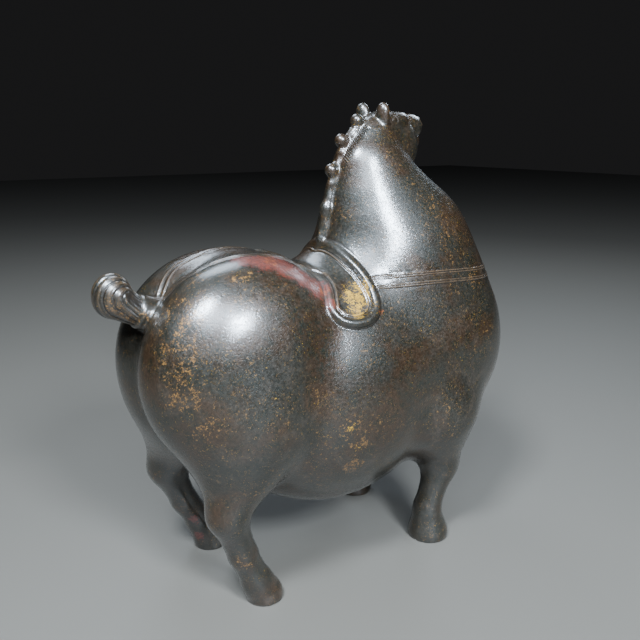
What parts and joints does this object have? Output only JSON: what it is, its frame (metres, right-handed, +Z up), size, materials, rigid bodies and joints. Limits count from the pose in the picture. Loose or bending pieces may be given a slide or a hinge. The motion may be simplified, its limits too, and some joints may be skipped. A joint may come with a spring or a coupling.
{
  "type": "cast bronze horse sculpture",
  "caption": "Stout cast bronze horse standing square with its head turned, a knotted mane, a small saddle with straps and a curled docked tail.",
  "frame": {"origin": "on the floor under the middle of the box that the horse fills, length and width halved", "axes": "+X forward, from tail to chest; +Y to the horse's left; +Z up, with the soles of the hooves on z = 0"},
  "size_m": [0.2738, 0.128, 0.2815],
  "materials": {
    "bronze": "dark brown patinated bronze, waxed and glossy, with ochre, gold and dull red patches and light specks"
  },
  "bodies": {
    "root": {"horse": "bronze"}
  },
  "joints": []
}
